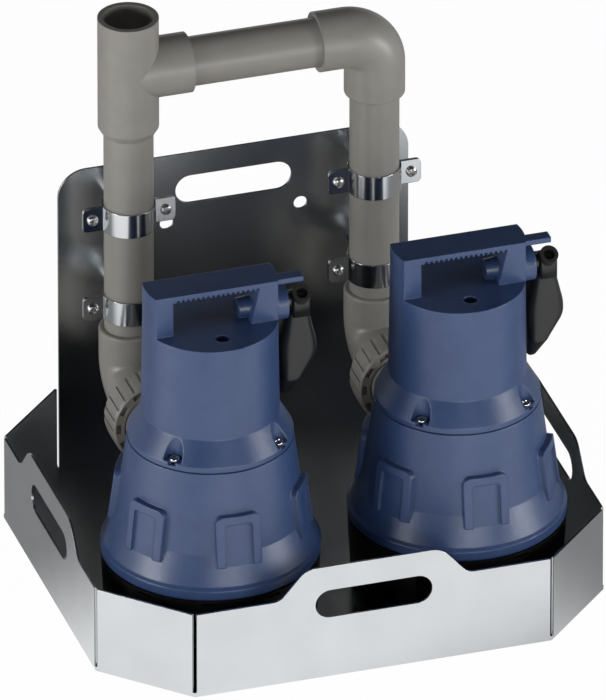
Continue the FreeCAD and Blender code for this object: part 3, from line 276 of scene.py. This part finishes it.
HEAD_POINTS, DOME_RINGS = 64, 14
RIM_SHARE, DOME_POWER = 0.35, 2.6
RECESS_DEEP, RECESS_BLADE, RECESS_REACH = 0.55, 0.2, 0.66
RECESS_FLANK, RECESS_END = 0.35, 0.12


def limited(value):
    """Value kept between 0 and 1."""
    return max(0.0, min(1.0, value))


def circle(radius, level):
    """Ring of points round the screw's axis."""
    turns = [2 * math.pi * i / HEAD_POINTS for i in range(HEAD_POINTS)]
    return [(radius * math.cos(turn), radius * math.sin(turn), level) for turn in turns]


def dome_point(x, y, share, radius, tall):
    """Point of the dome at a share of its radius, let down where the cross recess is."""
    blade = radius * RECESS_BLADE
    dome = tall * (RIM_SHARE + (1 - RIM_SHARE) * math.sqrt(max(0.0, 1 - share ** DOME_POWER)))
    across = limited((blade - min(abs(x), abs(y))) / (RECESS_FLANK * blade))
    along = limited((RECESS_REACH * radius - math.hypot(x, y)) / (RECESS_END * radius))
    return x, y, dome - tall * RECESS_DEEP * across * along


def pan_head(radius, tall, shank, length):
    """Screw that faces +Z with its head's seat at z = 0 and its cross recess sunk into the dome."""
    seat_radius, arris = radius * 0.9, tall * 0.08
    rings = [circle(shank, -length), circle(shank, 0.0), circle(seat_radius, 0.0), circle(radius, arris),
             circle(radius, tall * RIM_SHARE)]
    for step in range(1, DOME_RINGS + 1):
        share = math.cos(math.pi / 2 * step / (DOME_RINGS + 1))
        rings.append([dome_point(x, y, share, radius, tall) for x, y, _ in circle(radius * share, 0.0)])
    maker = bmesh.new()
    ring_surface(maker, rings)
    return to_object(maker, "pan_head")


# %% Geometry Nodes that put a screw on every place
def head_tree(template, material):
    """Tree that instances the template on points, turned by an input, and makes the copies real."""
    tree = bpy.data.node_groups.new("heads_on_places", "GeometryNodeTree")
    tree.interface.new_socket("Geometry", in_out="INPUT", socket_type="NodeSocketGeometry")
    turn_socket = tree.interface.new_socket("Turn", in_out="INPUT", socket_type="NodeSocketRotation")
    tree.interface.new_socket("Geometry", in_out="OUTPUT", socket_type="NodeSocketGeometry")
    start = add(tree, "NodeGroupInput")
    info = add(tree, "GeometryNodeObjectInfo", {"Object": template})
    copies = add(tree, "GeometryNodeInstanceOnPoints", {"Points": start.outputs["Geometry"],
                                                        "Instance": info.outputs["Geometry"],
                                                        "Rotation": start.outputs["Turn"]})
    real = add(tree, "GeometryNodeRealizeInstances", {"Geometry": copies.outputs["Instances"]})
    dressed = add(tree, "GeometryNodeSetMaterial", {"Geometry": real.outputs["Geometry"], "Material": material})
    add(tree, "NodeGroupOutput", {"Geometry": dressed.outputs["Geometry"]})
    return tree, turn_socket.identifier


def heads(name, places, turn_degrees, radius, tall, shank, length, replaced):
    """Plain mesh of screws at the places, which stands for CAD nodes of the root body."""
    template = pan_head(radius, tall, shank, length)
    tree, turn_input = head_tree(template, STEEL)
    cloud_mesh = bpy.data.meshes.new(name + "_places")
    cloud_mesh.from_pydata([tuple(place) for place in places], [], [])
    cloud = bpy.data.objects.new(name + "_places", cloud_mesh)
    bpy.context.scene.collection.objects.link(cloud)
    modifier = cloud.modifiers.new("heads", "NODES")
    modifier.node_group = tree
    modifier[turn_input] = [math.radians(angle) for angle in turn_degrees]
    graph = bpy.context.evaluated_depsgraph_get()
    mesh = bpy.data.meshes.new_from_object(cloud.evaluated_get(graph))
    made = bpy.data.objects.new(name, mesh)
    bpy.context.scene.collection.objects.link(made)
    bpy.data.objects.remove(cloud)
    bpy.data.objects.remove(template)
    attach(made, "root")
    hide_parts(*replaced)
    print(name, "faces:", len(mesh.polygons))


# %% Strap screws and case screws
HALF_SPACING = 30.5 * MM
EAR_THICK = 1.5 * MM
STRAP_HEAD, STRAP_HEAD_TALL = 4.5 * MM, 3.0 * MM
CASE_CIRCLE = 60.5 * MM
CASE_HEAD, CASE_HEAD_TALL = 4.2 * MM, 3.0 * MM
STRAP_SHANK, CASE_SHANK, SHANK_LENGTH = 2.5 * MM, 2.4 * MM, 9.9 * MM
strap_places = []
for side in SIDES:
    for level in ("upper", "lower"):
        low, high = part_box("clamp_front_%s_%s" % (side, level))
        middle = (low + high) / 2
        ear_front = high.y - EAR_THICK
        strap_places += [(middle.x + way * HALF_SPACING, ear_front, middle.z) for way in (-1, 1)]
FACING_FRONT, FACING_UP = (90, 0, 0), (0, 0, 20)
heads("strap_screw_heads", strap_places, FACING_FRONT, STRAP_HEAD, STRAP_HEAD_TALL, STRAP_SHANK, SHANK_LENGTH,
      ["clamp_screws"])
case_places = []
for side in SIDES:
    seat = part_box("case_screws_" + side)[1].z - CASE_HEAD_TALL
    offset = CASE_CIRCLE / math.sqrt(2)
    case_places += [(AXIS[side].x + one * offset, AXIS[side].y + two * offset, seat)
                    for one in (-1, 1) for two in (-1, 1)]
heads("case_screw_heads", case_places, FACING_UP, CASE_HEAD, CASE_HEAD_TALL, CASE_SHANK, SHANK_LENGTH,
      ["case_screws_left", "case_screws_right"])

# %% [markdown]
# ## Floats
#
# Each float is a hollow bulb of charcoal polypropylene, blow-moulded, so its faces roll into one another. It could
# be a box with bevels, but a bevel has one width all along its edge. A loft follows the mould better: level rings,
# each a squarish oval, whose four sides follow straight lines that are averaged a little where they bend.

# %% Side lines of a float, in millimetres from the pump's axis and from the ground
FLOAT_TOP, FLOAT_FOOT, FLOAT_CREASE, FLOAT_WIDEST, FLOAT_HALF_BAND = 282.0, 196.5, 216.0, 241.0, 5.0
FLOAT_LEVELS = [FLOAT_TOP, FLOAT_WIDEST + FLOAT_HALF_BAND, FLOAT_WIDEST - FLOAT_HALF_BAND, FLOAT_CREASE, FLOAT_FOOT]
FLOAT_SIDES = {"inner": [64, 57, 57, 58.5, 60], "outer": [80, 89.3, 89.3, 75.5, 67],
               "front": [-6.5, -6.5, -6.5, -6.5, 6], "rear": [28, 36, 36, 32.5, 28]}
TOP_ROUND, FOOT_ROUND = 7.0, 3.5
BEND_SOFT, CREASE_SOFT, BEND_STEPS = 4.0, 4.0 / 3, 4


def straight_side(name, level):
    """Place of one side line at a level, between its given points."""
    values, levels = FLOAT_SIDES[name], FLOAT_LEVELS
    for k in range(len(levels) - 1):
        if level >= levels[k + 1] or k == len(levels) - 2:
            share = (levels[k] - level) / (levels[k] - levels[k + 1])
            return values[k] + min(1.0, max(0.0, share)) * (values[k + 1] - values[k])


def soft_side(name, level):
    """Side line averaged over a short stretch, so that it bends in a curve. The front's crease stays tighter."""
    reach = CREASE_SOFT if name == "front" else BEND_SOFT
    parts = [straight_side(name, level + reach * k / BEND_STEPS) for k in range(-BEND_STEPS, BEND_STEPS + 1)]
    return sum(parts) / len(parts)


def inset(level):
    """How far a ring shrinks near the top and the foot, along a quarter circle."""
    for end, radius in ((FLOAT_TOP, TOP_ROUND), (FLOAT_FOOT, FOOT_ROUND)):
        depth = abs(end - level)
        if depth < radius:
            return radius - math.sqrt(max(0.0, radius ** 2 - (radius - depth) ** 2))
    return 0.0


# %% Loft of a float bulb with its neck
OVAL_POINTS, OVAL_POWER, BULB_RINGS = 96, 3.6, 90


def squared(part):
    """Sine or cosine pushed outwards, which makes an oval squarish."""
    return math.copysign(abs(part) ** (2 / OVAL_POWER), part)


def oval(inner, outer, front, rear, level):
    """Ring of a squarish oval at one level."""
    ring = []
    for i in range(OVAL_POINTS):
        angle = 2 * math.pi * i / OVAL_POINTS
        x = (inner + outer) / 2 + squared(math.cos(angle)) * (outer - inner) / 2
        y = (front + rear) / 2 + squared(math.sin(angle)) * (rear - front) / 2
        ring.append(Vector((x, y, level)))
    return ring


def bulb_rings():
    """Rings from top to foot, closer together near both ends."""
    rings = []
    for k in range(BULB_RINGS + 1):
        share = (1 - math.cos(math.pi * k / BULB_RINGS)) / 2
        level = FLOAT_TOP + (FLOAT_FOOT - FLOAT_TOP) * share
        shrink = inset(level)
        rings.append(oval(soft_side("inner", level) + shrink, soft_side("outer", level) - shrink,
                          soft_side("front", level) + shrink, soft_side("rear", level) - shrink, level))
    return rings


EYE_RADIUS, EYE_ROUND, EYE_STEPS = 8.0, 1.5, 24
EYE_INNER, EYE_OUTER = 66.0, 80.0
PIN_BACK, PIN_LEVEL = -2.0, 288.0
NECK_FOOT = FLOAT_TOP - TOP_ROUND


def eye_ring(across, radius):
    """Upright stadium outline of the eye at one place along X."""
    ring = [Vector((across, PIN_BACK + radius, NECK_FOOT))]
    for k in range(EYE_STEPS + 1):
        angle = math.pi * k / EYE_STEPS
        ring.append(Vector((across, PIN_BACK + radius * math.cos(angle), PIN_LEVEL + radius * math.sin(angle))))
    return ring + [Vector((across, PIN_BACK - radius, NECK_FOOT))]


def neck_rings():
    """Rings of the eye that hangs on the pivot pin, drawn along X with soft arrises."""
    arris = [(0.0, EYE_ROUND), (EYE_ROUND * 0.3, EYE_ROUND * 0.3), (EYE_ROUND, 0.0)]
    near = [eye_ring(EYE_INNER + step, EYE_RADIUS - shrink) for step, shrink in arris]
    far = [eye_ring(EYE_OUTER - step, EYE_RADIUS - shrink) for step, shrink in reversed(arris)]
    return near + far


def bulb(side):
    """Float bulb and neck of one pump."""
    maker = bmesh.new()
    ring_surface(maker, bulb_rings())
    ring_surface(maker, neck_rings())
    place = Matrix.Translation((AXIS[side].x, AXIS[side].y, 0)) @ Matrix.Scale(MM, 4)
    bmesh.ops.transform(maker, matrix=place, verts=maker.verts)
    return to_object(maker, "float_bulb_" + side)


for side in SIDES:
    made = bulb(side)
    made.data.materials.append(CHARCOAL)
    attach(made, "float_" + side)
    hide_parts("float_body_" + side)
    print(made.name, "faces:", len(made.data.polygons))

# %% [markdown]
# ## Floor, light and camera
#
# The set stands on a seamless white studio floor under a dark ceiling. That is what gives the stainless sheet its
# two faces: the outer walls mirror the white floor, and the inside of the tray mirrors the dark ceiling. In mirrors
# the floor shows a painted pool of light to the front left and painted shade elsewhere, both painted into its glow,
# so walls that face other ways come out darker. One soft panel in front gives the broad highlights down the blue
# barrels, and one at each side lights their flanks.

# %% Studio floor
FLOOR_HALF = 6.0
SEEN_WHITE, LIT_WHITE = 0.98, 0.55
# Painted pool of light and painted shade on the floor, seen only in mirrors: its way, its reach and the glow at its
# dark and bright ends.
PAINTED_POOL_WAY, PAINTED_POOL_REACH = (-0.35, -0.9, 0.0), 0.21
PAINTED_POOL_DARK, PAINTED_POOL_BRIGHT = 0.28, 1.15


def make_floor():
    """Large floor, white to the camera, with a painted pool of light and painted shade that only mirrors see. It
    keeps a faint shadow.
    """
    mesh = bpy.data.meshes.new("studio_floor")
    half = FLOOR_HALF
    mesh.from_pydata([(-half, -half, 0), (half, -half, 0), (half, half, 0), (-half, half, 0)], [], [(0, 1, 2, 3)])
    floor = bpy.data.objects.new("studio_floor", mesh)
    bpy.context.scene.collection.objects.link(floor)
    material, tree, output = blank_material("white_studio_floor_with_painted_pool")
    path = add(tree, "ShaderNodeLightPath")
    seen = add(tree, "ShaderNodeMath", {0: path.outputs["Is Camera Ray"], 1: path.outputs["Is Glossy Ray"]},
               operation="MAXIMUM")
    share = add(tree, "ShaderNodeMapRange", {"Value": seen.outputs[0], "To Min": LIT_WHITE, "To Max": SEEN_WHITE})
    # Painted pool of light: mirrors see the floor glow brighter towards the front left, with painted shade
    # elsewhere.
    place = add(tree, "ShaderNodeTexCoord").outputs["Object"]
    along = add(tree, "ShaderNodeVectorMath", {0: place, 1: PAINTED_POOL_WAY}, operation="DOT_PRODUCT")
    pool = add(tree, "ShaderNodeMapRange", {"Value": along.outputs["Value"], "From Max": PAINTED_POOL_REACH,
                                            "To Min": PAINTED_POOL_DARK, "To Max": PAINTED_POOL_BRIGHT},
               interpolation_type="SMOOTHSTEP")
    mirrored = add(tree, "ShaderNodeMix", {0: path.outputs["Is Glossy Ray"], 2: 1.0, 3: pool.outputs[0]})
    matt = add(tree, "ShaderNodeBsdfDiffuse", {"Color": colour("#f4f4f4")})
    white = add(tree, "ShaderNodeEmission", {"Color": colour("#ffffff"), "Strength": mirrored.outputs[0]})
    mix = add(tree, "ShaderNodeMixShader", {0: share.outputs[0], 1: matt.outputs[0], 2: white.outputs[0]})
    tree.links.new(mix.outputs[0], output.inputs["Surface"])
    mesh.materials.append(material)


make_floor()


# %% Studio light
LIT_LEVEL = 0.2


def direction_to(azimuth, elevation):
    """Unit vector at an angle to the right of the front and above the horizon, in degrees."""
    turn, rise = math.radians(azimuth), math.radians(elevation)
    return Vector((math.sin(turn) * math.cos(rise), -math.cos(turn) * math.cos(rise), math.sin(rise)))


def panel(name, azimuth, elevation, distance, size, watts, in_mirrors=True):
    """Soft rectangular lamp, placed by its angles from the front and turned to the middle of the set."""
    centre = Vector((0, 0, LIT_LEVEL))
    way = direction_to(azimuth, elevation)
    lamp = bpy.data.lights.new(name, "AREA")
    lamp.shape = "RECTANGLE"
    lamp.size, lamp.size_y = size
    lamp.energy = watts
    holder = bpy.data.objects.new(name, lamp)
    holder.location = centre + way * distance
    holder.rotation_euler = (-way).to_track_quat("-Z", "Y").to_euler()
    holder.visible_glossy = in_mirrors
    bpy.context.scene.collection.objects.link(holder)


panel("front_panel", 0, 7, distance=2.2, size=(1.0, 0.5), watts=13)
panel("left_strip", -78, 9, distance=1.8, size=(0.6, 0.6), watts=15)
panel("right_strip", 56, 9, distance=1.8, size=(0.6, 0.6), watts=14)
panel("ceiling_panel", -20, 80, distance=2.2, size=(2.4, 2.4), watts=8, in_mirrors=False)


HORIZON, CEILING = "#e0e2e3", "#17191a"
CEILING_START, WORLD_STRENGTH = 0.28, 1.3


def make_world():
    """Dark ceiling over a bright horizon."""
    world = bpy.data.worlds.new("studio_world")
    bpy.context.scene.world = world
    world.use_nodes = True
    tree = world.node_tree
    tree.nodes.clear()
    direction = add(tree, "ShaderNodeSeparateXYZ", {0: add(tree, "ShaderNodeTexCoord").outputs["Generated"]})
    ramp = add(tree, "ShaderNodeValToRGB", {"Fac": direction.outputs["Z"]})
    stops = ramp.color_ramp.elements
    stops[0].position, stops[0].color = 0.0, colour(HORIZON)
    stops[1].position, stops[1].color = CEILING_START, colour(CEILING)
    glow = add(tree, "ShaderNodeBackground", {"Color": ramp.outputs["Color"], "Strength": WORLD_STRENGTH})
    add(tree, "ShaderNodeOutputWorld", {"Surface": glow.outputs[0]})


make_world()

# %% Camera at the photograph's angle
AZIMUTH, ELEVATION = -17.38, 30.08
PHOTO_HEIGHT, PIXELS_PER_MM = 700, 1.26
FRAME_HEIGHT = PHOTO_HEIGHT / PIXELS_PER_MM * MM
LENS_MM, SENSOR_MM = 1400.0, 36.0
RISE = 0.1635
back = direction_to(AZIMUTH, ELEVATION)
turn = (-back).to_track_quat("-Z", "Y")
up = turn @ Vector((0, 1, 0))
distance = FRAME_HEIGHT * LENS_MM / SENSOR_MM + back.z * cad_high.z / 2
camera_data = bpy.data.cameras.new("photo_camera")
camera_data.lens, camera_data.sensor_width = LENS_MM, SENSOR_MM
camera_data.clip_start, camera_data.clip_end = 1.0, 60.0
camera = bpy.data.objects.new("photo_camera", camera_data)
camera.location = up * RISE + back * distance
camera.rotation_euler = turn.to_euler()
bpy.context.scene.collection.objects.link(camera)
bpy.context.scene.camera = camera
bpy.context.scene.view_settings.view_transform = "Standard"
print("camera distance in metres:", round(distance, 2))
